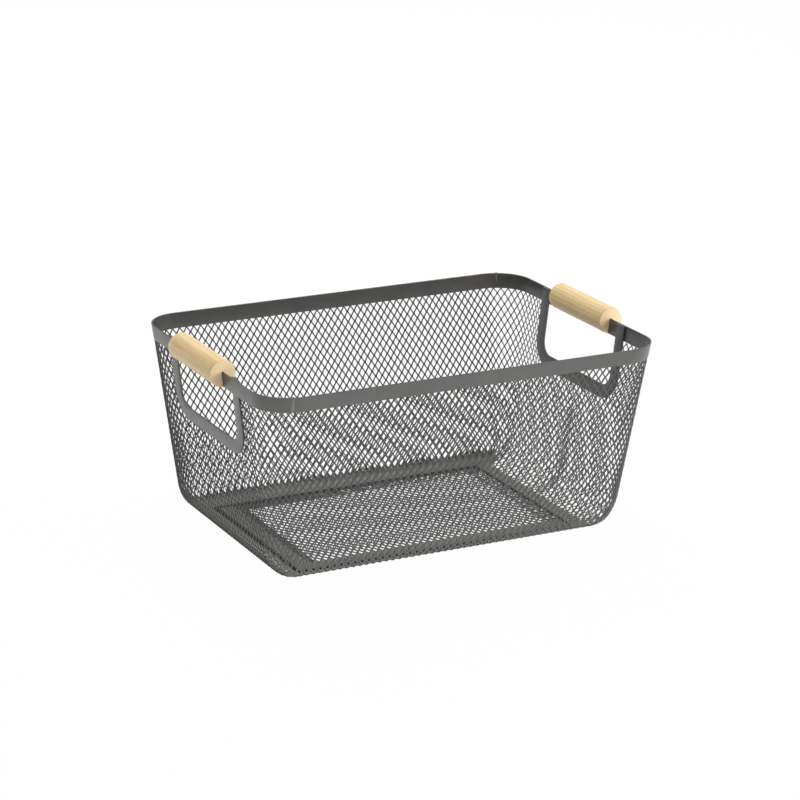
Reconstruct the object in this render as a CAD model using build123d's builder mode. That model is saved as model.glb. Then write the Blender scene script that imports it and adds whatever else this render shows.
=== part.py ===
from build123d import *
import os
from math import asin, atan2, ceil, cos, hypot, pi, radians, sin

# Rectangular wire basket: expanded metal walls and base, a flat rim band and two wooden grips.
# X runs along the basket, Y across it and Z up. The origin is under the middle of the base.
# All lengths are in millimetres.

# Rim band, measured over its outer faces at the top edge
rim_length = 355.0
rim_width = 253.5
rim_height = 163.0
rim_corner = 31.0
band_height = 12.8
band_thickness = 1.4

# Body: how far the foot lies inside the rim, and how its lower edges are bent
end_inset = 18.2
side_inset = 32.7
foot_corner = 14.0
end_bend = 29.7
side_bend = 10.7
least_corner = 3.0
corner_tuck_share = 0.5
bend_steps = 6

# Expanded metal: sheet, diamond pitch and width of a strand
sheet = 1.2
pitch_wide = 23.0
pitch_tall = 33.5
strand = 2.8
least_gap_side = 4.0
corner_columns = 3
half_corner_facets = 4
least_gap_edge = 0.05

# Lap joint of the wall sheet, inside the right end
seam_width = 11.0
seam_gap_wide = 5.0
seam_gap_tall = 10.0

# Base panel, laid on the flange that the foot turns in under it, with what it leaves of the flange
panel_end_gap = 12.0
panel_side_gap = 2.6
panel_corner = 4.0
flange_lap = 14.0

# Handle frames: flat strips bent round the hand openings, each this far inside the rim's sides
opening_side_in = 71.25
opening_depth = 55.8
opening_corner = 12.0
strip_width = 11.6
strip_thickness = 1.7
net_lap = 1.5

# Wooden grips, slotted over the rim band, with a gap to the frame's legs at each end
grip_end_gap = 13.4
grip_diameter = 22.3
grip_drop = 1.6
grip_chamfer = 0.8
slot_clearance = 0.3

# Worked out from the sizes above
end_lean = atan2(end_inset, rim_height)
side_lean = atan2(side_inset, rim_height)
sheet_in = band_thickness - sheet
band_foot = rim_height - band_height
foot_top = end_bend * (1 - sin(end_lean))
end_foot_in = end_inset * (rim_height - end_bend) / rim_height + sheet_in + end_bend / cos(end_lean)
side_foot_in = side_inset * (rim_height - side_bend) / rim_height + sheet_in + side_bend / cos(side_lean)
panel_length = rim_length - 2 * (end_foot_in + panel_end_gap)
panel_width = rim_width - 2 * (side_foot_in + panel_side_gap)
opening_width = rim_width - 2 * opening_side_in
grip_length = opening_width - 2 * grip_end_gap
window_half = opening_width / 2 + strip_width - net_lap
window_foot = rim_height - (opening_depth + strip_width - net_lap) * cos(end_lean)
frame_foot = rim_height - (opening_depth + strip_width) * cos(end_lean)
beyond = rim_length + rim_width


def wall_inset(height, total, lean, bend, depth):
    """how far a face of the sheet lies inside the rim's outline, this deep below its outer face"""
    radius = bend - depth
    if height >= bend * (1 - sin(lean)):
        return total * (rim_height - height) / rim_height + sheet_in + depth
    centre = total * (rim_height - bend) / rim_height + sheet_in + bend / cos(lean)
    return centre - radius * cos(asin(min(1, (bend - height) / radius)))


def outline(height, depth):
    """half length, half width and corner radius of the body's loop at this height and depth"""
    fall_share = (rim_height - height) / rim_height
    end_in = wall_inset(height, end_inset, end_lean, end_bend, depth)
    side_in = wall_inset(height, side_inset, side_lean, side_bend, depth)
    tuck = max(end_in - end_inset * fall_share, side_in - side_inset * fall_share)
    tuck = tuck - sheet_in - depth
    corner = rim_corner + (foot_corner - rim_corner) * fall_share - sheet_in - depth
    corner = max(corner - corner_tuck_share * tuck, least_corner)
    return rim_length / 2 - end_in, rim_width / 2 - side_in, corner


def band_loop(height, depth):
    """the rim band's rounded rectangle at this height and depth"""
    half_length, half_width, corner = outline(height, depth)
    with BuildSketch(Plane.XY.offset(height)) as loop:
        RectangleRounded(2 * half_length, 2 * half_width, corner)
    return loop.sketch


def corner_centre(height):
    """the middle of the corner's arc at this height, where the flat sides end"""
    half_length, half_width, corner = outline(height, 0)
    return half_length - corner, half_width - corner


def corner_points(height, depth, quarter):
    """the ends of the flat facets that the net's sheet follows round one corner"""
    half_length, half_width, corner = outline(height, depth)
    side_x = 1 if quarter in (0, 3) else -1
    side_y = 1 if quarter in (0, 1) else -1
    points = []
    for facet in range(2 * half_corner_facets + 1):
        turn = (quarter + facet / (2 * half_corner_facets)) * pi / 2
        points.append((
            side_x * (half_length - corner) + corner * cos(turn),
            side_y * (half_width - corner) + corner * sin(turn),
            height,
        ))
    return points


def polygon_face(first, second):
    """a flat face between two lines of points that run the same way"""
    return Face(Wire.make_polygon([*first, *reversed(second)]))


def folded_solid(outer, inner):
    """a solid between two sheets of flat facets, each given as lines of points from its top down"""
    faces = [polygon_face(outer[0], inner[0]), polygon_face(outer[-1], inner[-1])]
    for lines in (outer, inner):
        for upper, lower in zip(lines, lines[1:]):
            if len(upper) > len(lower):
                faces.append(polygon_face(upper, lower))
                continue
            for place in range(len(upper) - 1):
                faces.append(polygon_face(upper[place:place + 2], lower[place:place + 2]))
    for end in (0, -1):
        for place in range(len(outer) - 1):
            high = outer[place][end]
            low = inner[place + 1][end]
            faces.append(polygon_face([high, outer[place + 1][end]], [low]))
            faces.append(polygon_face([high, low], [inner[place][end]]))
    return Solid(Shell(faces))


def diamond_half():
    """half the width and half the height of one gap of the net"""
    cell_side = hypot(pitch_wide, pitch_tall)
    open_share = 1 - strand * cell_side / (pitch_wide * pitch_tall)
    return open_share * pitch_wide / 2, open_share * pitch_tall / 2


def diamond(across, high, half_wide, half_tall):
    """the corners of one gap"""
    return [(across + half_wide, high), (across, high + half_tall), (across - half_wide, high), (across, high - half_tall)]


def cut_short(gap, border):
    """what is left of a gap where it keeps a strand's width from the edges of its border"""
    for start, end in zip(border, border[1:] + border[:1]):
        run = (end[0] - start[0], end[1] - start[1])
        length = hypot(*run)
        kept = []
        for point, following in zip(gap, gap[1:] + gap[:1]):
            here = (run[0] * (point[1] - start[1]) - run[1] * (point[0] - start[0])) / length - strand
            there = (run[0] * (following[1] - start[1]) - run[1] * (following[0] - start[0])) / length - strand
            if here >= 0:
                kept.append(point)
            if here * there < 0:
                share = here / (here - there)
                kept.append((
                    point[0] + (following[0] - point[0]) * share,
                    point[1] + (following[1] - point[1]) * share,
                ))
        gap = [
            point for point, following in zip(kept, kept[1:] + kept[:1])
            if hypot(following[0] - point[0], following[1] - point[1]) > least_gap_edge
        ]
    return gap


def gap_area(gap):
    """the area of a gap from its corners"""
    return abs(sum(
        point[0] * following[1] - following[0] * point[1]
        for point, following in zip(gap, gap[1:] + gap[:1])
    )) / 2


def net_gaps(border, start_high):
    """the corners of the diamond gaps of a flat net, cut short inside its border"""
    across = max(point[0] for point in border)
    low = min(point[1] for point in border)
    high = max(point[1] for point in border)
    half_wide, half_tall = diamond_half()
    first = -ceil((start_high - low) / (pitch_tall / 2))
    last = ceil((high - start_high) / (pitch_tall / 2))
    columns = ceil(across / (pitch_wide / 2))
    gaps = []
    for column in range(-columns, columns + 1):
        for row in range(first, last + 1):
            if (column + row) % 2 == 0:
                place = (column * pitch_wide / 2, start_high + row * pitch_tall / 2)
                gaps.append(cut_short(diamond(*place, half_wide, half_tall), border))
    return [gap for gap in gaps if gap_area(gap) > least_gap_side * least_gap_side]


def loop_on(plane, points):
    """a closed loop of straight edges on a plane"""
    return Wire.make_polygon([plane.from_local_coords(point) for point in points])


def flat_net(plane, border, start_high, inward):
    """a flat net on a leaning plane, pushed level through the sheet"""
    gaps = [loop_on(plane, gap) for gap in net_gaps(border, start_high)]
    return Solid.extrude(Face(loop_on(plane, border), gaps), Vector(*inward) * sheet)


def twin(shape, plane):
    """the same piece on the other side of the basket"""
    with BuildPart() as other:
        add(mirror(shape, about=plane))
    return other.part


def keep(shape, name):
    """names a finished piece and writes it out"""
    shape.label = name
    export_step(shape, os.path.join("parts", name + ".step"))
    return shape


os.makedirs("parts", exist_ok=True)

# Long walls: flat leaning nets from the bend up to the band
side_plane = Plane(
    origin=(0, side_inset + sheet_in - rim_width / 2, 0),
    x_dir=(1, 0, 0),
    z_dir=(0, -cos(side_lean), -sin(side_lean)),
)
side_low = foot_top / cos(side_lean)
side_high = band_foot / cos(side_lean)
side_border = [
    (-corner_centre(foot_top)[0], side_low),
    (corner_centre(foot_top)[0], side_low),
    (corner_centre(band_foot)[0], side_high),
    (-corner_centre(band_foot)[0], side_high),
]
wall_front = flat_net(side_plane, side_border, side_high, (0, 1, 0))
keep(wall_front, "wall_front")
keep(twin(wall_front, Plane.XZ), "wall_back")

# End walls: a net under the hand opening and one on each side of it
end_plane = Plane(
    origin=(rim_length / 2 - end_inset - sheet_in, 0, 0),
    x_dir=(0, 1, 0),
    z_dir=(cos(end_lean), 0, -sin(end_lean)),
)
end_low = foot_top / cos(end_lean)
end_middle = window_foot / cos(end_lean)
end_high = band_foot / cos(end_lean)
end_lower_border = [
    (-corner_centre(foot_top)[1], end_low),
    (corner_centre(foot_top)[1], end_low),
    (corner_centre(window_foot)[1], end_middle),
    (-corner_centre(window_foot)[1], end_middle),
]
end_beside_border = [
    (window_half, end_middle),
    (corner_centre(window_foot)[1], end_middle),
    (corner_centre(band_foot)[1], end_high),
    (window_half, end_high),
]
end_lower = flat_net(end_plane, end_lower_border, end_high, (-1, 0, 0))
end_beside = flat_net(end_plane, end_beside_border, end_high, (-1, 0, 0))
keep(twin(end_lower, Plane.YZ), "wall_left_lower")
keep(end_beside, "wall_right_beside_back")
keep(twin(end_beside, Plane.XZ), "wall_right_beside_front")
keep(twin(end_beside, Plane.YZ), "wall_left_beside_back")
keep(twin(twin(end_beside, Plane.YZ), Plane.XZ), "wall_left_beside_front")

# The right end also holds the lap joint, a second layer up the middle of its inner face
seam_plane = Plane(end_plane.origin - Vector(sheet, 0, 0), x_dir=end_plane.x_dir, z_dir=end_plane.z_dir)
seam_low = end_low
seam_high = frame_foot / cos(end_lean)
seam_gaps = int((seam_high - seam_low) / (seam_gap_tall + strand))
with BuildPart() as wall_right_lower:
    add(end_lower)
    with BuildSketch(seam_plane):
        with Locations((0, (seam_low + seam_high) / 2)):
            Rectangle(seam_width, seam_high - seam_low)
            with GridLocations(0, seam_gap_tall + strand, 1, seam_gaps):
                half_gap = (seam_gap_wide / 2, seam_gap_tall / 2)
                Polygon(
                    (half_gap[0], 0), (0, half_gap[1]), (-half_gap[0], 0), (0, -half_gap[1]),
                    mode=Mode.SUBTRACT,
                )
    extrude(amount=sheet, dir=(-1, 0, 0))
keep(wall_right_lower.part, "wall_right_lower")


# Corners: quarter cones in narrow facets, with the net's columns fanned round them
corner_solid = folded_solid(
    [corner_points(height, 0, 0) for height in (band_foot, foot_top)],
    [corner_points(height, sheet, 0) for height in (band_foot, foot_top)],
)
corner_gaps = []
rows = ceil((band_foot - foot_top) / (pitch_tall / 2))
for column in range(1, corner_columns + 1):
    turn = radians(90 * column / (corner_columns + 1))
    for row in range(rows):
        if (column + row) % 2 == 1:
            continue
        height = band_foot - row * pitch_tall / 2
        centre_x, centre_y = corner_centre(height)
        spread = outline(height, 0)[2] * pi / 2 / (corner_columns + 1)
        half_wide = spread * diamond_half()[0] / (pitch_wide / 2)
        border = [
            (-spread - strand, foot_top - height), (spread + strand, foot_top - height),
            (spread + strand, band_foot - height), (-spread - strand, band_foot - height),
        ]
        gap = cut_short(diamond(0, 0, half_wide, diamond_half()[1]), border)
        radial = Plane(
            origin=(centre_x, centre_y, height),
            x_dir=(-sin(turn), cos(turn), 0),
            z_dir=(cos(turn), sin(turn), 0),
        )
        if gap_area(gap) > least_gap_side * least_gap_side:
            corner_gaps.append(Solid.extrude(Face(loop_on(radial, gap)), radial.z_dir * 2 * rim_corner))
with BuildPart() as corner:
    add(corner_solid)
    add(corner_gaps, mode=Mode.SUBTRACT)
keep(corner.part, "corner_back_right")
keep(twin(corner.part, Plane.XZ), "corner_front_right")
keep(twin(corner.part, Plane.YZ), "corner_back_left")
keep(twin(twin(corner.part, Plane.YZ), Plane.XZ), "corner_front_left")

# Foot: the lower edge bent in to a flange, in four parts that meet at the corners
outer_heights = [foot_top]
inner_heights = [foot_top]
for step in range(1, bend_steps + 1):
    turn = end_lean + (pi / 2 - end_lean) * step / bend_steps
    outer_heights.append(end_bend * (1 - sin(turn)))
    inner_heights.append(end_bend - (end_bend - sheet) * sin(turn))
flange_x = panel_length / 2 - flange_lap
flange_y = panel_width / 2 - flange_lap


def foot_lines(heights, depth, quarter, flange_ends):
    """one face of a foot part, from the middle of one corner to the middle of the next"""
    lines = []
    for height in heights:
        first = corner_points(height, depth, quarter)[half_corner_facets:]
        second = corner_points(height, depth, (quarter + 1) % 4)[:half_corner_facets + 1]
        lines.append(first + second)
    lines.append([(x, y, depth) for x, y in flange_ends])
    return lines


def foot_part(quarter, flange_ends, gap_plane, gap_border, gap_start):
    """one side of the foot with its flange, and the net's gaps across its bend"""
    with BuildPart() as part:
        add(folded_solid(
            foot_lines(outer_heights, 0, quarter, flange_ends),
            foot_lines(inner_heights, sheet, quarter, flange_ends),
        ))
        gaps = [Face(loop_on(gap_plane, gap)) for gap in net_gaps(gap_border, gap_start)]
        add([Solid.extrude(gap, gap_plane.z_dir * beyond) for gap in gaps], mode=Mode.SUBTRACT)
    return part.part


# The gaps of the long sides are cut level, those of the ends square to the middle of their wide bend
end_bend_turn = (end_lean + pi / 2) / 2
end_bend_half = end_bend * sin((pi / 2 - end_lean) / 2)
meet_x, meet_y = corner_centre(foot_top)
front_gap_plane = Plane(origin=(0, 0, 0), x_dir=(1, 0, 0), z_dir=(0, -1, 0))
right_gap_plane = Plane(
    origin=(rim_length / 2 - end_foot_in, 0, end_bend),
    x_dir=(0, 1, 0),
    z_dir=(cos(end_bend_turn), 0, -sin(end_bend_turn)),
)
foot_front = foot_part(
    2,
    [(-flange_x, -flange_y), (flange_x, -flange_y)],
    front_gap_plane,
    [(-meet_x, sheet), (meet_x, sheet), (meet_x, foot_top), (-meet_x, foot_top)],
    foot_top / 2,
)
foot_right = foot_part(
    3,
    [(flange_x, -flange_y), (flange_x, flange_y)],
    right_gap_plane,
    [
        (-meet_y, -end_bend_half), (meet_y, -end_bend_half),
        (meet_y, end_bend_half), (-meet_y, end_bend_half),
    ],
    0,
)
keep(foot_front, "foot_front")
keep(twin(foot_front, Plane.XZ), "foot_back")
keep(foot_right, "foot_right")
keep(twin(foot_right, Plane.YZ), "foot_left")

# Base panel: a flat net on the flange
panel_border = [
    (-panel_length / 2, -panel_width / 2),
    (panel_length / 2, -panel_width / 2),
    (panel_length / 2, panel_width / 2),
    (-panel_length / 2, panel_width / 2),
]
with BuildPart() as base_panel:
    with BuildSketch(Plane.XY.offset(sheet)) as panel_edge:
        RectangleRounded(panel_length, panel_width, panel_corner)
    extrude(amount=sheet)
    gaps = [Face(loop_on(Plane.XY.offset(sheet), gap)) for gap in net_gaps(panel_border, 0)]
    add([Solid.extrude(gap, (0, 0, sheet)) for gap in gaps], mode=Mode.SUBTRACT)
keep(base_panel.part, "base_panel")

# Rim band: two halves that meet beside the front left and the back right corner
joint_x = corner_centre(rim_height)[0]
with BuildPart() as rim_front_half:
    loft(sections=[band_loop(band_foot, -sheet_in), band_loop(rim_height, -sheet_in)], ruled=True)
    loft(sections=[band_loop(band_foot, sheet), band_loop(rim_height, sheet)], ruled=True, mode=Mode.SUBTRACT)
    with BuildSketch(Plane.XY.offset(band_foot)):
        with BuildLine():
            Polyline(
                (-joint_x, -beyond), (beyond, -beyond), (beyond, beyond), (joint_x, beyond),
                (joint_x, 0), (-joint_x, 0),
                close=True,
            )
        make_face()
    extrude(amount=band_height, mode=Mode.INTERSECT)
keep(rim_front_half.part, "rim_front_half")
with BuildPart() as rim_back_half:
    add(rim_front_half.part.rotate(Axis.Z, 180))
keep(rim_back_half.part, "rim_back_half")

# Handle frames: each a flat U, its legs lapped on the band's inner face
frame_plane = Plane(
    origin=(rim_length / 2 - end_inset - band_thickness, 0, 0),
    x_dir=(0, 1, 0),
    z_dir=(cos(end_lean), 0, -sin(end_lean)),
)
slope_top = rim_height / cos(end_lean)
with BuildPart() as handle_frame:
    with BuildSketch(frame_plane) as strip:
        with Locations((0, slope_top)):
            Rectangle(
                opening_width + 2 * strip_width,
                opening_depth + strip_width,
                align=(Align.CENTER, Align.MAX),
            )
        fillet(strip.vertices().group_by(Axis.Y)[0], opening_corner + strip_width)
        with BuildSketch(mode=Mode.PRIVATE) as hand_opening:
            with Locations((0, slope_top)):
                Rectangle(opening_width, opening_depth, align=(Align.CENTER, Align.MAX))
            fillet(hand_opening.vertices().group_by(Axis.Y)[0], opening_corner)
        add(hand_opening.sketch, mode=Mode.SUBTRACT)
    extrude(amount=strip_thickness, dir=(-1, 0, 0))
keep(handle_frame.part, "handle_frame_right")
keep(twin(handle_frame.part, Plane.YZ), "handle_frame_left")

# Grips: turned dowels with a slot from below for the band
grip_plane = Plane(
    origin=(
        rim_length / 2 - band_thickness / 2 - grip_drop * sin(end_lean),
        grip_length / 2,
        rim_height - grip_drop * cos(end_lean),
    ),
    x_dir=(cos(end_lean), 0, -sin(end_lean)),
    z_dir=(0, -1, 0),
)
with BuildPart() as grip:
    with BuildSketch(grip_plane):
        Circle(grip_diameter / 2)
        with Locations((0, grip_drop + slot_clearance)):
            Rectangle(
                band_thickness + 2 * slot_clearance,
                grip_diameter,
                align=(Align.CENTER, Align.MAX),
                mode=Mode.SUBTRACT,
            )
    extrude(amount=grip_length)
    chamfer(grip.edges().filter_by(GeomType.CIRCLE), grip_chamfer)
keep(grip.part, "grip_right")
keep(twin(grip.part, Plane.YZ), "grip_left")
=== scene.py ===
import math
import random

import bmesh
import bpy
from mathutils import Matrix, Vector


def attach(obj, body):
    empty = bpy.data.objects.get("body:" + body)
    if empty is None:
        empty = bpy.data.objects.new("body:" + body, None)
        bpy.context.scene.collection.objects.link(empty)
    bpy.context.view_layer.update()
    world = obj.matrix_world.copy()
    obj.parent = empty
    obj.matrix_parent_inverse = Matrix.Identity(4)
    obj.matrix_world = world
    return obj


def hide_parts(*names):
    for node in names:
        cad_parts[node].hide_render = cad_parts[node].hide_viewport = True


# Looks of the wire basket: the fine diamond mesh, the welded rim band and frames, and the wooden grips.
# Sizes are in millimetres, as in the part's source, and become metres where a mesh is made.
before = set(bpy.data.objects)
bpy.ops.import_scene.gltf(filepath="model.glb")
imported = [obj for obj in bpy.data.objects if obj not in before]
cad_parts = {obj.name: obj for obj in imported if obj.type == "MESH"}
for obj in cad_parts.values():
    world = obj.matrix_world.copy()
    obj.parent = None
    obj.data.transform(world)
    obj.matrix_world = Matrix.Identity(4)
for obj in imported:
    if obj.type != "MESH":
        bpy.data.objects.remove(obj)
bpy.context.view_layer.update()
MM = 0.001

# Rim band and body, the part's own sizes
rim_length = 355.0
rim_width = 253.5
rim_height = 163.0
rim_corner = 31.0
band_height = 12.8
band_thickness = 1.4
end_inset = 18.2
side_inset = 32.7
foot_corner = 14.0
end_bend = 29.7
side_bend = 10.7
least_corner = 3.0
corner_tuck_share = 0.5
sheet = 1.2

# Base panel, handle frames and grips, the part's own sizes
panel_end_gap = 12.0
panel_side_gap = 2.6
flange_lap = 14.0
opening_side_in = 71.25
opening_depth = 55.8
opening_corner = 12.0
strip_width = 11.6
strip_thickness = 1.7
grip_end_gap = 13.4
grip_diameter = 22.3
grip_drop = 1.6
slot_clearance = 0.3

# Expanded metal as the photograph shows it: counts of its columns and half rows, and its strands
side_columns = 46
end_columns = 30
corner_columns = 7
wall_half_rows = 35
flange_half_rows = 4
base_pitch_x = 6.4
base_pitch_y = 9.2
strand_width = 0.875
strand_thickness = 0.62
strand_tilt = 0.25
bond_share = 0.12
least_open_share = 0.12
web_thickness = 0.34

# Where the mesh isn't fully open: half rows counted up from the foot, and the base panel's margins
closed_rows_side = 4
closed_rows_end = 1
slit_rows = 2
front_open_rows = (1, 2)
front_small_row = 3
small_gap_share = 0.64
slit_margin_front = 16.0
slit_margin_left = 15.0

# A slit's outline about its cell's middle, in columns and half rows
slit_shape = (
    (-0.24, 0.40), (-0.035, 0), (0.17, -0.40), (0.22, -0.46),
    (0.24, -0.40), (0.035, 0), (-0.17, 0.40), (-0.22, 0.46),
)

# The mesh by the hand openings: cells this near are cut along them, and the mesh sinks in behind the frame
window_margin = 9.0
window_steps = 5
cut_snap = 1e-5
mesh_sink = 1.9
sink_reach = 13.0

# The lap joint: its top half row, and how many columns it lies beside the right end's middle
seam_top_row = 17
seam_shift = 0.1

# The base panel lies further left than its solid, and a dark strip along its edge, a painted shadow line,
# stands just proud of its strands
panel_left_more = 9.5
shadow_line_width_x = 2.4
shadow_line_width_y = 3.6
shadow_line_top = 2.39

# Welds: how many columns before the joints they lie, the bead's reach, rise and lumps, and how far the
# back one stays bare from the band's edges
weld_front_by = 1.25
weld_back_by = 1.9
weld_rings = 9
weld_reach = 0.16
weld_rise = 0.5
weld_spread = 0.1
weld_side_share = 0.12
weld_edge_zone = 0.4
weld_flat_zone = 0.6
least_lump = 0.8
more_lump = 0.4
weld_bare = 0.9

# Steps and softened edges of the band and frames
band_softening = 0.35
band_corner_steps = 16
band_straight_steps = 6
strip_softening = 0.4
strip_steps = 12

# Grips: the softened ends, as places along and what the radius loses there, how far the dowel stays inside
# its solid, and the slot's mouth
grip_ends = ((0, 0.9), (0.15, 0.45), (0.45, 0.15), (0.9, 0))
grip_stations = 12
grip_steps = 48
grip_inside = 0.02
mouth_flare = 0.3
mouth_ease = 0.35
mouth_depth = 0.5
slot_round = 0.3

# Mending of a finished mesh: points nearer than this are one, and holes of up to so many sides are filled
merge_within = 0.002
largest_hole = 24

# Worked out from the sizes above
end_lean = math.atan2(end_inset, rim_height)
side_lean = math.atan2(side_inset, rim_height)
slope_top = rim_height / math.cos(end_lean)
sheet_in = band_thickness - sheet
band_foot = rim_height - band_height
end_foot_in = end_inset * (rim_height - end_bend) / rim_height + sheet_in + end_bend / math.cos(end_lean)
side_foot_in = side_inset * (rim_height - side_bend) / rim_height + sheet_in + side_bend / math.cos(side_lean)
panel_length = rim_length - 2 * (end_foot_in + panel_end_gap)
panel_width = rim_width - 2 * (side_foot_in + panel_side_gap)
opening_width = rim_width - 2 * opening_side_in
grip_length = opening_width - 2 * grip_end_gap
panel_ends = (-panel_length / 2 - panel_left_more, panel_length / 2)
flange_x = panel_length / 2 - flange_lap
flange_y = panel_width / 2 - flange_lap
half_loop = side_columns + end_columns + 2 * corner_columns
all_columns = 2 * half_loop
window_rows = wall_half_rows / 2


# Body surface: columns run round it from the front left, half rows run down it from the band
def mix(a, b, share):
    return a + (b - a) * share


def wall_inset(height, total, lean, bend, depth):
    """how far a face of the sheet lies inside the rim's outline, this deep below its outer face"""
    radius = bend - depth
    if height >= bend - radius * math.sin(lean):
        return total * (rim_height - height) / rim_height + sheet_in + depth
    centre = total * (rim_height - bend) / rim_height + sheet_in + bend / math.cos(lean)
    return centre - radius * math.cos(math.asin(min(1, (bend - height) / radius)))


def outline(height, depth):
    """half length, half width and corner radius of the body's loop at this height and depth"""
    fall_share = (rim_height - height) / rim_height
    end_in = wall_inset(height, end_inset, end_lean, end_bend, depth)
    side_in = wall_inset(height, side_inset, side_lean, side_bend, depth)
    tuck = max(end_in - end_inset * fall_share, side_in - side_inset * fall_share)
    tuck = tuck - sheet_in - depth
    corner = rim_corner + (foot_corner - rim_corner) * fall_share - sheet_in - depth
    corner = max(corner - corner_tuck_share * tuck, least_corner)
    return rim_length / 2 - end_in, rim_width / 2 - side_in, corner


def profile(share, lean, bend):
    """height and turn of the sheet's middle, this share of the way from the band to the flange"""
    straight = (band_foot - bend * (1 - math.sin(lean))) / math.cos(lean)
    along = share * (straight + bend * (math.pi / 2 - lean))
    if along <= straight:
        return band_foot - along * math.cos(lean), lean
    turn = lean + (along - straight) / bend
    return bend - (bend - sheet / 2) * math.sin(turn), turn


segments = (
    ("side", side_columns, 0), ("corner", corner_columns, 0),
    ("end", end_columns, 0), ("corner", corner_columns, 1),
    ("side", side_columns, 2), ("corner", corner_columns, 2),
    ("end", end_columns, 2), ("corner", corner_columns, 3),
)


def place_on_loop(column, half_length, half_width, corner):
    """x, y, outward direction and share of the end wall's shape, at this column of a rounded rectangle"""
    column = column % all_columns
    for kind, count, quarter in segments:
        if column <= count:
            break
        column -= count
    share = column / count
    if kind == "corner":
        turn = (quarter - 1 + share) * math.pi / 2
        side_x = 1 if quarter in (0, 1) else -1
        side_y = 1 if quarter in (1, 2) else -1
        out = (math.cos(turn), math.sin(turn))
        weight = share if quarter in (0, 2) else 1 - share
        return (
            side_x * (half_length - corner) + corner * out[0],
            side_y * (half_width - corner) + corner * out[1],
            out,
            weight,
        )
    along = mix(-1, 1, share)
    facing = 1 if quarter == 0 else -1
    if kind == "side":
        return facing * along * (half_length - corner), -facing * half_width, (0, -facing), 0
    return facing * half_length, facing * along * (half_width - corner), (facing, 0), 1


def end_weight(column):
    """0 on the sides, 1 on the ends, and between them round the corners"""
    return place_on_loop(column, rim_length, rim_width, rim_corner)[3]


def window_planes(facing):
    """the outline of the hand opening's frame as planes that face away from it"""
    slope = Vector((facing * math.sin(end_lean), 0, math.cos(end_lean)))
    foot = Vector((facing * (rim_length / 2 - end_inset), 0, 0))
    half = opening_width / 2 + strip_width
    low = slope_top - opening_depth - strip_width
    radius = opening_corner + strip_width
    planes = []
    for side_y in (-1, 1):
        centre = foot + slope * (low + radius) + Vector((0, side_y * (half - radius), 0))
        for step in range(window_steps + 1):
            turn = step / window_steps * math.pi / 2
            out = Vector((0, side_y * math.cos(turn), 0)) - slope * math.sin(turn)
            planes.append((centre + out * radius, out))
    return planes


windows = {facing: window_planes(facing) for facing in (1, -1)}


def from_window(point, facing):
    """how far the point lies outside the frame of the hand opening"""
    return max((point - place).dot(out) for place, out in windows[facing])


def sheet_point(column, half_row, lift):
    """a point this far outside the middle of the mesh sheet, which is sunk beside the hand openings"""
    weight = end_weight(column)
    wall_share = min(half_row / wall_half_rows, 1)
    side_height, side_turn = profile(wall_share, side_lean, side_bend)
    end_height, end_turn = profile(wall_share, end_lean, end_bend)
    height = mix(side_height, end_height, weight)
    turn = mix(side_turn, end_turn, weight)
    x, y, out, _ = place_on_loop(column, *outline(height, sheet / 2))
    if half_row > wall_half_rows:
        inner_x, inner_y, _, _ = place_on_loop(column, flange_x, flange_y, least_corner / 2)
        inward = (half_row - wall_half_rows) / flange_half_rows
        x = mix(x, inner_x, inward)
        y = mix(y, inner_y, inward)
    if weight == 1 and half_row < window_rows:
        facing = 1 if x > 0 else -1
        apart = max(from_window(Vector((x, y, height)), facing), 0)
        near = max(1 - apart / sink_reach, 0)
        x -= facing * mesh_sink * near * near * (3 - 2 * near)
    return Vector((
        x + out[0] * math.cos(turn) * lift,
        y + out[1] * math.cos(turn) * lift,
        height - math.sin(turn) * lift,
    ))


# Mesh making: a store holds vertices and faces, and for the net also the borders that no second cell has met
def gap_share(point, column, row, upper, lower):
    """the gap's share of a cell, whose strands keep their width however narrow the cell is"""
    wide = (point(column + 0.5, row, 0) - point(column - 0.5, row, 0)).length
    tall = (point(column, row + int(lower), 0) - point(column, row - int(upper), 0)).length
    if not (upper and lower):
        tall *= 2
    return 1 - strand_width * math.hypot(wide, tall) / (wide * tall) if wide * tall else 0


def gap_shape(open_share):
    """the gap's outline about its cell's middle, its two sides turned out and in with the strands"""
    side_x = open_share * 0.5 * (1 - bond_share)
    side_y = open_share * bond_share
    return [
        (-side_x, side_y, strand_tilt), (-side_x, 0, strand_tilt), (-side_x, -side_y, strand_tilt),
        (0, -open_share, 0),
        (side_x, -side_y, -strand_tilt), (side_x, 0, -strand_tilt), (side_x, side_y, -strand_tilt),
        (0, open_share, 0),
    ]


def cell_faces(upper, lower, solid):
    """a cell's patches, and the edges along its gap and along its border, by the numbers of its spots"""
    left, top, right, bottom = range(4)
    low_left, mid_left, high_left, high_tip, high_right, mid_right, low_right, low_tip = range(4, 12)
    patches, walls, borders = [], [], []
    if upper:
        borders += [(left, top), (top, right)]
        if solid:
            patches.append((left, right, top))
        else:
            patches += [(left, high_left, high_tip, top), (top, high_tip, high_right, right)]
            patches += [(left, mid_left, high_left), (right, high_right, mid_right)]
            walls += [(mid_left, high_left), (high_left, high_tip)]
            walls += [(high_tip, high_right), (high_right, mid_right)]
    if lower:
        borders += [(right, bottom), (bottom, left)]
        if solid:
            patches.append((left, bottom, right))
        else:
            patches += [(left, bottom, low_tip, low_left), (bottom, right, low_right, low_tip)]
            patches += [(left, low_left, mid_left), (right, mid_right, low_right)]
            walls += [(mid_right, low_right), (low_right, low_tip)]
            walls += [(low_tip, low_left), (low_left, mid_left)]
    if not (upper and lower):
        if solid:
            walls.append((left, right))
        else:
            borders += [(left, mid_left), (mid_right, right)]
    return patches, walls, borders


def add_pairs(vertices, point, column, row, spots, thickness):
    """each spot of a cell as two vertices, one on the sheet's outer side and the next on its inner side"""
    for across, down, tilt in spots:
        for lift in (tilt + thickness / 2, tilt - thickness / 2):
            vertices.append(point(column + across, row + down, lift))


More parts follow.
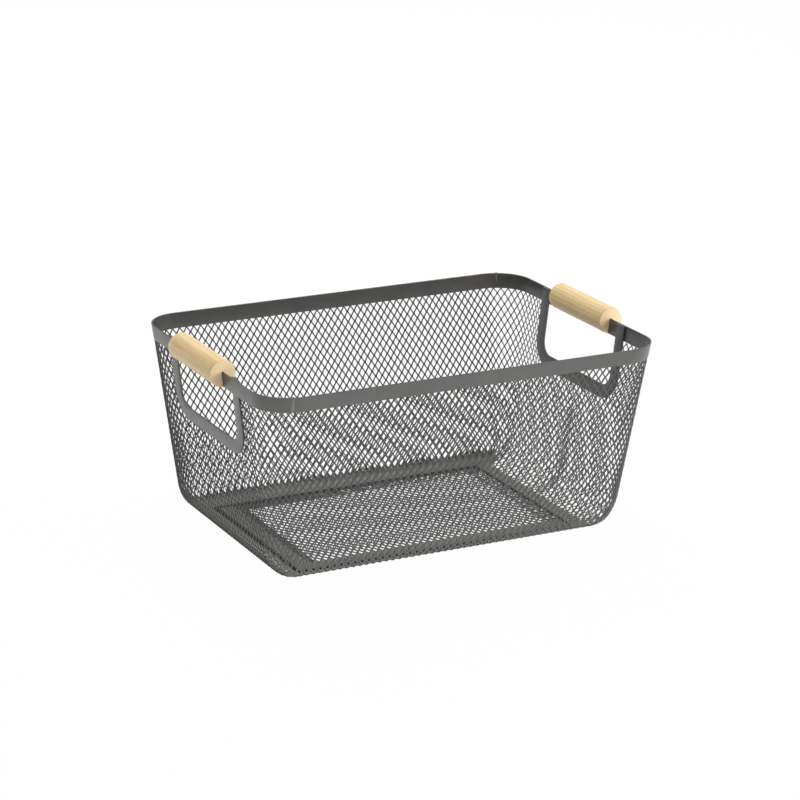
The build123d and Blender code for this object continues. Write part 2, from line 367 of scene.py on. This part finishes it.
def add_cell(store, point, column, row, upper=True, lower=True, kind="open"):
    """one diamond of the mesh: its strands round its gap, which is open, small, a slit, or closed by a web"""
    open_share = gap_share(point, column, row, upper, lower)
    if kind == "small":
        open_share *= small_gap_share
    solid = open_share < least_open_share and kind != "slit"
    spots = [(-0.5, 0, 0), (0, -1, 0), (0.5, 0, 0), (0, 1, 0)]
    if kind == "slit":
        spots += [(across, down, 0) for across, down in slit_shape]
    elif not solid:
        spots += gap_shape(open_share)
    vertices, faces = store[:2]
    start = len(vertices)
    add_pairs(vertices, point, column, row, spots, strand_thickness)
    patches, walls, borders = cell_faces(upper, lower, solid)
    for patch in patches:
        faces.append([start + 2 * spot for spot in patch])
        faces.append([start + 2 * spot + 1 for spot in reversed(patch)])
    for first, second in borders:
        note_border(store, start + 2 * first, start + 2 * second)
    if kind != "closed":
        for first, second in walls:
            first, second = start + 2 * first, start + 2 * second
            faces.append([second, first, first + 1, second + 1])
    elif not solid:
        rim = [walls[0][0]] + [second for _, second in walls]
        if upper and lower:
            rim.pop()
        on_web = {spot: len(vertices) + 2 * index for index, spot in enumerate(rim)}
        on_strand = {spot: start + 2 * spot for spot in rim}
        add_pairs(vertices, point, column, row, [spots[spot] for spot in rim], web_thickness)
        for first, second in walls:
            faces.append([on_strand[second], on_strand[first], on_web[first], on_web[second]])
            faces.append([on_web[second] + 1, on_web[first] + 1, on_strand[first] + 1, on_strand[second] + 1])
        faces.append([on_web[spot] for spot in rim])
        faces.append([on_web[spot] + 1 for spot in reversed(rim)])
        if not (upper and lower):
            first, last = on_web[rim[0]], on_web[rim[-1]]
            faces.append([first, last, last + 1, first + 1])


def note_border(store, first, second):
    """keeps a cell's border as a wall to be, until the next cell meets it"""
    vertices, faces, borders = store
    key = frozenset((tuple(vertices[first]), tuple(vertices[second])))
    if key in borders:
        del borders[key]
    else:
        borders[key] = (faces, [first, second, second + 1, first + 1])


def close_borders(borders):
    """walls along the borders that no second cell has met"""
    for faces, wall in borders.values():
        faces.append(wall)


def make_piece(name, store, material, nodes, smooth_angle=None):
    """a finished object that rides on the body and stands for its CAD nodes"""
    vertices, faces = store[:2]
    mesh = bpy.data.meshes.new(name)
    mesh.from_pydata([tuple(value * MM for value in vertex) for vertex in vertices], [], faces)
    work = bmesh.new()
    work.from_mesh(mesh)
    bmesh.ops.remove_doubles(work, verts=work.verts, dist=merge_within * MM)
    loose = [vertex for vertex in work.verts if not vertex.link_faces]
    bmesh.ops.delete(work, geom=loose, context="VERTS")
    open_edges = [edge for edge in work.edges if edge.is_boundary]
    if open_edges:
        bmesh.ops.holes_fill(work, edges=open_edges, sides=largest_hole)
    bmesh.ops.recalc_face_normals(work, faces=work.faces)
    work.to_mesh(mesh)
    work.free()
    mesh.polygons.foreach_set("use_smooth", [True] * len(mesh.polygons))
    if smooth_angle is not None:
        mesh.set_sharp_from_angle(angle=smooth_angle)
    mesh.materials.append(material)
    piece = bpy.data.objects.new(name, mesh)
    bpy.context.scene.collection.objects.link(piece)
    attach(piece, "root")
    if nodes:
        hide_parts(*nodes)
    return piece


def paint_some(piece, material, chosen):
    """a second material on the faces that are chosen"""
    piece.data.materials.append(material)
    for face in piece.data.polygons:
        if chosen(face):
            face.material_index = 1


def clip_to_window(store, facing):
    """cuts the mesh off along the handle frame, plane by plane"""
    vertices, faces = store[:2]
    mesh = bpy.data.meshes.new("clip")
    mesh.from_pydata([tuple(vertex) for vertex in vertices], [], faces)
    inside = bmesh.new()
    inside.from_mesh(mesh)
    bpy.data.meshes.remove(mesh)
    for place, out in windows[facing]:
        outside = inside.copy()
        for part, keep_out in ((outside, True), (inside, False)):
            geometry = part.verts[:] + part.edges[:] + part.faces[:]
            bmesh.ops.bisect_plane(
                part, geom=geometry, dist=cut_snap, plane_co=place, plane_no=out,
                clear_inner=keep_out, clear_outer=not keep_out,
            )
        outside.verts.index_update()
        kept_faces = [[vertex.index for vertex in face.verts] for face in outside.faces]
        yield [vertex.co.copy() for vertex in outside.verts], kept_faces
        outside.free()
    inside.free()


def wall_kind(column, row):
    """slits at the top of the foot's bend, webs below it and on the flange, and dashes along the front"""
    weight = end_weight(column)
    above_foot = wall_half_rows - row
    closed_rows = mix(closed_rows_side, closed_rows_end, weight)
    if row > wall_half_rows + 1:
        # the flange's inner part is webbed along the left end and the front alone
        column = (column + end_columns + corner_columns) % all_columns
        return "closed" if column <= half_loop else "open"
    in_front = column % all_columns <= side_columns
    if above_foot >= closed_rows or (in_front and above_foot in front_open_rows):
        return "open"
    if in_front and above_foot == front_small_row:
        return "small"
    return "slit" if weight < 0.5 and above_foot >= closed_rows - slit_rows else "closed"


def build_body():
    """the wall sheet, bent in to its flange, with the hand openings and the lap joint"""
    borders = {}
    store = ([], [], borders)
    near = {facing: ([], [], borders) for facing in (1, -1)}
    last = wall_half_rows + flange_half_rows
    for row in range(last + 1):
        for twice in range(2 * all_columns):
            if (twice + row) % 2:
                continue
            column = twice / 2
            centre = sheet_point(column, row, 0)
            target = store
            facing = 1 if centre.x > 0 else -1
            if end_weight(column) == 1 and row < window_rows:
                apart = from_window(centre, facing)
                if apart < -window_margin:
                    continue
                if apart < window_margin:
                    target = near[facing]
            add_cell(target, sheet_point, column, row, row > 0, row < last, wall_kind(column, row))
    add_seam(store)
    close_borders(borders)
    for facing in (1, -1):
        for vertices, faces in clip_to_window(near[facing], facing):
            start = len(store[0])
            store[0].extend(vertices)
            store[1].extend([start + index for index in face] for face in faces)
    return store


def add_seam(store):
    """the wall strip's two ends lap up the middle of the right end: a second layer inside the first"""
    middle = side_columns + corner_columns + end_columns / 2
    lap = strand_thickness + 2 * abs(strand_tilt)

    def inner(column, half_row, lift):
        return sheet_point(column, half_row, lift - lap)

    for row in range(seam_top_row, wall_half_rows):
        for twice in (-1, 0, 1):
            if (twice + row) % 2 == 0:
                add_cell(store, inner, middle + twice / 2 + seam_shift, row)


def in_margin(spot):
    """whether the spot lies in the base panel's front or left margin, which is slit and not drawn open"""
    return spot.y < slit_margin_front - panel_width / 2 or spot.x < slit_margin_left + panel_ends[0]


def build_base():
    """the base panel, a flat mesh that lies on the flange"""
    store = ([], [], {})
    columns = round((panel_ends[1] - panel_ends[0]) / base_pitch_x)
    rows = round(panel_width / base_pitch_y * 2)
    middle_height = 1.5 * sheet

    def point(column, row, lift):
        return Vector((
            mix(*panel_ends, column / columns),
            (0.5 - row / rows) * panel_width,
            middle_height + lift,
        ))

    for row in range(rows + 1):
        for twice in range(2 * columns + 1):
            if (twice + row) % 2 or twice in (0, 2 * columns):
                continue
            kind = "slit" if in_margin(point(twice / 2, row, 0)) else "open"
            add_cell(store, point, twice / 2, row, row > 0, row < rows, kind)
    close_borders(store[2])
    return store


def build_panel_shadow_line():
    """a dark strip along the base panel's border from the edge inwards, a painted shadow line where the panel
    meets the wall's bend
    """
    vertices, faces = [], []
    for share in (0, 1):
        for height in (sheet, shadow_line_top):
            for side_x, side_y in ((-1, -1), (1, -1), (1, 1), (-1, 1)):
                vertices.append(Vector((
                    panel_ends[side_x > 0] - side_x * share * shadow_line_width_x,
                    side_y * (panel_width / 2 - share * shadow_line_width_y),
                    height,
                )))
    for low_ring, high_ring in ((0, 1), (1, 3), (3, 2), (2, 0)):
        for index in range(4):
            following = (index + 1) % 4
            faces.append([
                4 * low_ring + index, 4 * low_ring + following,
                4 * high_ring + following, 4 * high_ring + index,
            ])
    return vertices, faces


def rounded_section(wide, tall, radius, steps):
    """the points of a rounded rectangle about its middle"""
    points = []
    for quarter, (sign_a, sign_b) in enumerate(((1, 1), (-1, 1), (-1, -1), (1, -1))):
        for step in range(steps + 1):
            turn = (quarter + step / steps) * math.pi / 2
            points.append((
                sign_a * (wide / 2 - radius) + radius * math.cos(turn),
                sign_b * (tall / 2 - radius) + radius * math.sin(turn),
            ))
    return points


def sweep(rings):
    """a closed solid through rings of the same count of points"""
    count = len(rings[0])
    vertices = [vertex for ring in rings for vertex in ring]
    last_ring = len(vertices) - count
    faces = []
    for base in range(0, last_ring, count):
        for corner in range(count):
            following = (corner + 1) % count
            faces.append([base + corner, base + following, base + count + following, base + count + corner])
    faces.append(list(reversed(range(count))))
    faces.append(list(range(last_ring, last_ring + count)))
    return vertices, faces


def band_point(column, across, up):
    """a point of the band's section at this column, out from and above the section's middle"""
    height = band_foot + band_height / 2 + up
    depth = sheet - band_thickness / 2 - across
    x, y, _, _ = place_on_loop(column, *outline(min(height, rim_height), depth))
    return Vector((x, y, height))


def build_weld(column, seed):
    """a thin lumpy bead round the band's section, where two lengths of band are butt welded"""
    wander = random.Random(seed)
    half_height = band_height / 2
    rings = []
    for step in range(weld_rings):
        share = 2 * step / (weld_rings - 1) - 1
        rise = weld_rise * math.sqrt(max(1 - share * share, 0))
        ring = []
        for across, up in rounded_section(band_thickness, band_height, band_softening, 4):
            lump = least_lump + more_lump * wander.random()
            proud = rise * lump * (1.0 if up > half_height - weld_edge_zone else weld_side_share)
            spread = weld_spread * rise * lump if up < half_height - weld_flat_zone else 0
            if abs(up) > half_height - weld_edge_zone:
                up += math.copysign(proud, up)
            across += math.copysign(spread, across)
            ring.append(band_point(column + weld_reach * share, across, up))
        rings.append(ring)
    return sweep(rings)


def build_band_half(start_column):
    """half the rim band, from the front left joint round to the back right one, or the other half"""
    columns = []
    column = start_column
    for kind, count, _ in segments[:4]:
        steps = band_corner_steps if kind == "corner" else band_straight_steps
        columns += [column + count * step / steps for step in range(steps)]
        column += count
    columns.append(column)
    section = rounded_section(band_thickness, band_height, band_softening, 3)
    return sweep([[band_point(place, across, up) for across, up in section] for place in columns])


def frame_point(facing, along, slope, depth):
    """a point of the end wall's plane, this deep inside the frame's outer face"""
    x = rim_length / 2 - end_inset - band_thickness - depth + slope * math.sin(end_lean)
    return Vector((facing * x, along, slope * math.cos(end_lean)))


def build_frame(facing):
    """a flat strip bent to a U round the hand opening"""
    half = (opening_width + strip_width) / 2
    low = slope_top - opening_depth - strip_width / 2
    radius = opening_corner + strip_width / 2
    stations = [(half, slope_top, 0.0), (half, mix(slope_top, low + radius, 0.5), 0.0)]
    for step in range(strip_steps + 1):
        turn = step / strip_steps * math.pi / 2
        along = half - radius + radius * math.cos(turn)
        stations.append((along, low + radius - radius * math.sin(turn), turn))
    stations.append((0, low, math.pi / 2))
    stations += [(-along, slope, math.pi - turn) for along, slope, turn in reversed(stations[:-1])]
    rings = []
    for along, slope, turn in stations:
        ring = []
        for across, deep in rounded_section(strip_width, strip_thickness, strip_softening, 3):
            ring.append(frame_point(
                facing,
                along + across * math.cos(turn),
                slope - across * math.sin(turn),
                strip_thickness / 2 + deep,
            ))
        rings.append(ring)
    return sweep(rings)


def build_grip(facing):
    """a turned dowel with softened ends, slotted from below over the band"""
    centre_x = rim_length / 2 - band_thickness / 2 - grip_drop * math.sin(end_lean)
    centre_z = rim_height - grip_drop * math.cos(end_lean)
    slot_half = band_thickness / 2 + slot_clearance
    slot_top = grip_drop + slot_clearance
    stations = list(grip_ends)
    stations += [(grip_length * step / grip_stations, 0) for step in range(1, grip_stations)]
    stations += [(grip_length - along, less) for along, less in reversed(grip_ends)]
    rings = []
    for along, less in stations:
        radius = grip_diameter / 2 - less - grip_inside
        mouth = slot_half + mouth_flare * less + mouth_ease
        first = math.asin(mouth / radius)
        ring = []
        for step in range(grip_steps + 1):
            turn = -math.pi / 2 + first + (2 * math.pi - 2 * first) * step / grip_steps
            ring.append((radius * math.cos(turn), radius * math.sin(turn)))
        slot_side = (mouth_depth - radius, -radius / 2, slot_top - slot_round)
        ring += [(-slot_half, up) for up in slot_side]
        ring += [(slot_round - slot_half, slot_top), (slot_half - slot_round, slot_top)]
        ring += [(slot_half, up) for up in reversed(slot_side)]
        rings.append([
            Vector((
                facing * (centre_x + across * math.cos(end_lean) + up * math.sin(end_lean)),
                along - grip_length / 2,
                centre_z - across * math.sin(end_lean) + up * math.cos(end_lean),
            ))
            for across, up in ring
        ])
    return sweep(rings)


# Materials: tones are written as 8-bit screen values
def srgb(red, green, blue):
    """a tone as the shader wants it"""
    return tuple((value / 255) ** 2.2 for value in (red, green, blue)) + (1.0,)


def new_material(name):
    material = bpy.data.materials.new(name)
    material.use_nodes = True
    nodes = material.node_tree.nodes
    return material, nodes, material.node_tree.links, nodes["Principled BSDF"]


def stretched(nodes, links, scale, offset=(0, 0, 0)):
    """the part's own coordinates, stretched for a texture"""
    coordinates = nodes.new("ShaderNodeTexCoord")
    mapping = nodes.new("ShaderNodeMapping")
    mapping.inputs["Scale"].default_value = scale
    mapping.inputs["Location"].default_value = offset
    links.new(coordinates.outputs["Object"], mapping.inputs["Vector"])
    return mapping.outputs["Vector"]


def noise(nodes, links, source, scale, detail, roughness=0.5):
    texture = nodes.new("ShaderNodeTexNoise")
    texture.inputs["Scale"].default_value = scale
    texture.inputs["Detail"].default_value = detail
    texture.inputs["Roughness"].default_value = roughness
    links.new(source, texture.inputs["Vector"])
    return texture.outputs["Fac"]


def ramp(nodes, links, source, places, tones):
    """runs through the tones, each at its place between 0 and 1 of the source"""
    node = nodes.new("ShaderNodeValToRGB")
    elements = node.color_ramp.elements
    while len(elements) < len(tones):
        elements.new(0.5)
    for element, place, tone in zip(elements, places, tones):
        element.position = place
        element.color = srgb(*tone)
    links.new(source, node.inputs["Fac"])
    return node.outputs["Color"]


def blend(nodes, links, first, second, share, way="MIX"):
    """this share of the second colour over the first"""
    node = nodes.new("ShaderNodeMix")
    node.data_type = "RGBA"
    node.blend_type = way
    node.inputs["Factor"].default_value = share
    links.new(first, node.inputs["A"])
    links.new(second, node.inputs["B"])
    return node.outputs["Result"]


def bump(nodes, links, height, strength, distance, shader):
    node = nodes.new("ShaderNodeBump")
    node.inputs["Strength"].default_value = strength
    node.inputs["Distance"].default_value = distance
    links.new(height, node.inputs["Height"])
    links.new(node.outputs["Normal"], shader.inputs["Normal"])


def map_range(nodes, links, source, low, high, least=0, most=1):
    """the source from low to high as least to most"""
    node = nodes.new("ShaderNodeMapRange")
    for name, value in (("From Min", low), ("From Max", high), ("To Min", least), ("To Max", most)):
        node.inputs[name].default_value = value
    links.new(source, node.inputs["Value"])
    return node.outputs["Result"]


def reckon(nodes, links, operation, source, other):
    """this operation on the source and the other, which is a number or one more source"""
    node = nodes.new("ShaderNodeMath")
    node.operation = operation
    links.new(source, node.inputs[0])
    if isinstance(other, (int, float)):
        node.inputs[1].default_value = other
    else:
        links.new(other, node.inputs[1])
    return node.outputs["Value"]


def paint_material(name, tones, roughness, cloud_scale=38):
    """powder coat: a fine orange peel, faint clouds of tone and a satin sheen"""
    material, nodes, links, shader = new_material(name)
    place = stretched(nodes, links, (1, 1, 1))
    clouds = noise(nodes, links, place, cloud_scale, detail=6, roughness=0.6)
    links.new(ramp(nodes, links, clouds, (0.3, 0.52, 0.74), tones), shader.inputs["Base Color"])
    patches = noise(nodes, links, place, scale=90, detail=3)
    gloss = map_range(nodes, links, patches, 0, 1, least=roughness - 0.07, most=roughness + 0.09)
    links.new(gloss, shader.inputs["Roughness"])
    shader.inputs["IOR"].default_value = 1.85
    peel = noise(nodes, links, place, scale=2600, detail=2)
    bump(nodes, links, peel, strength=0.35, distance=0.00006, shader=shader)
    return material


def add_film(material, tone, most, heights, facings=None):
    """another tone low in the basket, on all faces there or only on those that look up; on the faces that
    look up it is painted light from above
    """
    nodes, links = material.node_tree.nodes, material.node_tree.links
    shader = nodes["Principled BSDF"]
    share = most
    for node, output, limits in (
        ("ShaderNodeTexCoord", "Object", heights), ("ShaderNodeNewGeometry", "Normal", facings),
    ):
        if limits:
            split = nodes.new("ShaderNodeSeparateXYZ")
            links.new(nodes.new(node).outputs[output], split.inputs["Vector"])
            factor = map_range(nodes, links, split.outputs["Z"], *limits)
            share = reckon(nodes, links, "MULTIPLY", factor, share)
    film = nodes.new("ShaderNodeMix")
    film.data_type = "RGBA"
    film.inputs["B"].default_value = srgb(*tone)
    links.new(share, film.inputs["Factor"])
    links.new(shader.inputs["Base Color"].links[0].from_socket, film.inputs["A"])
    links.new(film.outputs["Result"], shader.inputs["Base Color"])


def wood_material(name, tones):
    """pale beech: growth rings about an axis along the grip, long fibres and short flecks"""
    material, nodes, links, shader = new_material(name)
    rings = nodes.new("ShaderNodeTexWave")
    rings.wave_type = "RINGS"
    rings.rings_direction = "Y"
    rings.inputs["Scale"].default_value = 95
    rings.inputs["Distortion"].default_value = 2.2
    rings.inputs["Detail"].default_value = 3
    rings.inputs["Detail Scale"].default_value = 1.4
    links.new(stretched(nodes, links, (1, 0.12, 1), (0.0, 0.0, 0.02)), rings.inputs["Vector"])
    fibres = noise(nodes, links, stretched(nodes, links, (1, 0.03, 1)), scale=900, detail=4, roughness=0.6)
    flecks = noise(nodes, links, stretched(nodes, links, (1, 0.2, 1)), scale=1500, detail=2)
    base = ramp(nodes, links, rings.outputs["Fac"], (0.0, 0.45, 1.0), tones)
    streaks = ramp(nodes, links, fibres, (0.3, 0.5, 0.75), tones)
    dots = ramp(nodes, links, flecks, (0.28, 0.42), ((214, 186, 150), (255, 255, 255)))
    grain = blend(nodes, links, base, streaks, 0.7)
    links.new(blend(nodes, links, grain, dots, 0.5, "MULTIPLY"), shader.inputs["Base Color"])
    shader.inputs["Roughness"].default_value = 0.5
    shader.inputs["Sheen Weight"].default_value = 0.45
    shader.inputs["Sheen Roughness"].default_value = 0.4
    bump(nodes, links, fibres, strength=0.3, distance=0.0001, shader=shader)
    return material


# Stage: floor, backdrop, lamps and camera, in metres
def white_to_camera(nodes, links, lit, share):
    """mixes plain white over the lit look, for what the camera and its reflections see"""
    path = nodes.new("ShaderNodeLightPath")
    seen = path.outputs["Is Camera Ray"]
    for name in ("Is Glossy Ray", "Is Transmission Ray"):
        seen = reckon(nodes, links, "MAXIMUM", seen, path.outputs[name])
    scaled = reckon(nodes, links, "MULTIPLY", seen, share)
    white = nodes.new("ShaderNodeEmission" if lit.node.type != "BACKGROUND" else "ShaderNodeBackground")
    white.inputs["Color"].default_value = (1, 1, 1, 1)
    both = nodes.new("ShaderNodeMixShader")
    links.new(scaled, both.inputs["Fac"])
    links.new(lit, both.inputs[1])
    links.new(white.outputs[0], both.inputs[2])
    return both.outputs["Shader"]


def stage_material(name, grey):
    """a matt grey"""
    material, nodes, links, shader = new_material(name)
    shader.inputs["Base Color"].default_value = (grey, grey, grey, 1)
    shader.inputs["Roughness"].default_value = 0.9
    return material, nodes, links, shader


def stage_object(name, vertices, faces, material):
    mesh = bpy.data.meshes.new(name)
    mesh.from_pydata(vertices, [], faces)
    mesh.materials.append(material)
    thing = bpy.data.objects.new(name, mesh)
    bpy.context.scene.collection.objects.link(thing)
    return thing


def make_floor():
    """a wide floor that runs out to white"""
    material, nodes, links, shader = stage_material("floor", 0.92)
    look = white_to_camera(nodes, links, shader.outputs["BSDF"], 0.97)
    links.new(look, nodes["Material Output"].inputs["Surface"])
    reach = 4
    corners = [(-reach, -reach, 0), (reach, -reach, 0), (reach, reach, 0), (-reach, reach, 0)]
    floor = stage_object("floor", corners, [(0, 1, 2, 3)], material)


def make_flags():
    """a dark ring of studio flags, lower on one side, which the paint's sheen sees and the camera doesn't"""
    radius, high, low, count = 3.2, 2.3, 1.3, 48
    low_from, low_to = 15, 110
    vertices = []
    faces = []
    for step in range(count):
        turn = 2 * math.pi * step / count
        top = low if low_from <= math.degrees(turn) <= low_to else high
        vertices += [(radius * math.cos(turn), radius * math.sin(turn), height) for height in (0, top)]
        following = (step + 1) % count
        faces.append((2 * step, 2 * following, 2 * following + 1, 2 * step + 1))
    flags = stage_object("flags", vertices, faces, stage_material("flags", 0.05)[0])
    flags.visible_camera = False
    flags.visible_transmission = False


def make_world(strength):
    """an even white studio round everything"""
    world = bpy.data.worlds.new("studio")
    bpy.context.scene.world = world
    world.use_nodes = True
    nodes = world.node_tree.nodes
    nodes["Background"].inputs["Color"].default_value = (1, 1, 1, 1)
    nodes["Background"].inputs["Strength"].default_value = strength
    look = white_to_camera(nodes, world.node_tree.links, nodes["Background"].outputs[0], 1)
    world.node_tree.links.new(look, nodes["World Output"].inputs["Surface"])


def make_lamp(name, place, target, size, power):
    """a soft lamp, which the paint's sheen doesn't see"""
    light = bpy.data.lights.new(name, "AREA")
    light.shape = "RECTANGLE"
    light.size, light.size_y = size
    light.energy = power
    lamp = bpy.data.objects.new(name, light)
    bpy.context.scene.collection.objects.link(lamp)
    lamp.visible_glossy = False
    lamp.location = place
    lamp.rotation_mode = "QUATERNION"
    lamp.rotation_quaternion = (Vector(target) - Vector(place)).to_track_quat("-Z", "Y")


def make_camera():
    """the camera that the photograph was fitted with"""
    azimuth = math.radians(-27.4547)
    elevation = math.radians(17.9583)
    roll = math.radians(0.785)
    target = Vector((32.2, 59.5, 81.5)) * MM
    distance = 2419.2 * MM
    back = Vector((
        math.sin(azimuth) * math.cos(elevation),
        -math.cos(azimuth) * math.cos(elevation),
        math.sin(elevation),
    ))
    level = Vector((math.cos(azimuth), math.sin(azimuth), 0))
    rise = back.cross(level)
    right = level * math.cos(roll) + rise * math.sin(roll)
    up = rise * math.cos(roll) - level * math.sin(roll)
    turned = Matrix((right, up, back)).transposed().to_4x4()
    data = bpy.data.cameras.new("camera")
    data.lens = 127.86
    data.sensor_width = 36
    data.clip_start = 0.1
    data.clip_end = 50
    camera = bpy.data.objects.new("camera", data)
    bpy.context.scene.collection.objects.link(camera)
    camera.matrix_world = Matrix.Translation(target + back * distance) @ turned
    bpy.context.scene.camera = camera


# Paint and wood. The net's strands are painted darker than the plain paint, as painted shade between them;
# low in the basket the paint is plain, and faces at the foot that look up are painted lighter, as painted
# light from above: a film begins at the first of its heights, in metres, and is whole at the second, and the
# painted light needs a face that looks up.
shaded_mesh_tones = ((58, 57, 55), (64, 63, 61), (70, 69, 67))
plain_tone, plain_most, plain_heights = (80, 79, 76), 0.9, (0.036, 0.02)
# Painted light: faces low in the basket that look up are painted lighter, as light from above falls on them
painted_light_tone, painted_light_heights, painted_light_facings = (150, 148, 143), (0.016, 0.006), (0.1, 0.8)
rim_paint = paint_material("rim_coat", ((71, 70, 68), (76, 75, 72), (81, 80, 77)), roughness=0.34)
mesh_paint, body_paint, margin_paint = (
    paint_material(name, shaded_mesh_tones, roughness=0.36) for name in ("mesh_coat", "body_coat", "margin_coat")
)
# Low down the body and the base's margin go back to the plain tone, and their up-facing faces there get the
# painted light
for paint, painted_light_most in ((body_paint, 0.6), (margin_paint, 0.27)):
    add_film(paint, plain_tone, plain_most, plain_heights)
    add_film(paint, painted_light_tone, painted_light_most, painted_light_heights, painted_light_facings)
# Near black: the painted shadow line along the base panel's edge, which is less dark along the front
shadow_line_paint = paint_material(
    "painted_shadow_line", ((14, 14, 13), (22, 22, 21), (74, 73, 70)), roughness=0.6, cloud_scale=170,
)
front_shadow_line_paint = paint_material(
    "painted_shadow_line_front", ((52, 51, 49), (68, 67, 64), (96, 95, 91)), roughness=0.6, cloud_scale=170,
)
weld_paint = paint_material("weld_coat", ((96, 95, 92), (106, 105, 101), (118, 117, 113)), roughness=0.3)
beech = wood_material("beech", ((216, 180, 116), (232, 200, 142), (245, 219, 168)))
# The grips' end faces: the end grain's own look, painted lighter than the wood along the grip, partly as
# painted light on the ends
lit_end_grain = wood_material("beech_end_lit", ((250, 211, 160), (255, 224, 180), (255, 233, 195)))

# Pieces
wall_nodes = sorted(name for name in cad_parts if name.startswith(("wall_", "corner_", "foot_")))
edge_angle = math.radians(40)
make_piece("mesh_body", build_body(), body_paint, wall_nodes, edge_angle)
base = make_piece("mesh_base", build_base(), mesh_paint, ["base_panel"], edge_angle)
paint_some(base, margin_paint, lambda face: in_margin(face.center / MM))
make_piece("band_front", build_band_half(0), rim_paint, ["rim_front_half"], edge_angle)
make_piece("band_back", build_band_half(half_loop), rim_paint, ["rim_back_half"], edge_angle)
make_piece("frame_right", build_frame(1), rim_paint, ["handle_frame_right"], edge_angle)
make_piece("frame_left", build_frame(-1), rim_paint, ["handle_frame_left"], edge_angle)
# A dark strip along the base panel's border, painted shadow where the panel meets the wall's bend, less dark
# along the front
edge = make_piece("panel_shadow_line", build_panel_shadow_line(), shadow_line_paint, [])
paint_some(edge, front_shadow_line_paint, lambda face: face.center.y / MM < shadow_line_width_y - panel_width / 2)
make_piece("weld_front", build_weld(-weld_front_by, 3), weld_paint, [])
weld = make_piece("weld_back", build_weld(half_loop - weld_back_by, 5), weld_paint, [])
paint_some(
    weld, rim_paint,
    lambda face: weld_bare < face.center.z / MM - band_foot < band_height - weld_bare,
)
for facing, side in ((1, "right"), (-1, "left")):
    dowel = make_piece(f"dowel_{side}", build_grip(facing), beech, [f"grip_{side}"], edge_angle)
    # the end faces get the lighter end grain, which is partly painted light
    paint_some(dowel, lit_end_grain, lambda face: abs(face.normal.y) > 0.9)

# Studio
make_floor()
make_flags()
make_world(strength=1.0)
lamp_target, lamp_size = (0, 0, 0.08), (1.4, 1.4)
make_lamp("key", (0.3, 1.8, 1.7), lamp_target, lamp_size, power=36)
make_lamp("fill", (1.7, -1.7, 0.7), lamp_target, lamp_size, power=41)
make_camera()
bpy.context.scene.view_settings.view_transform = "Standard"
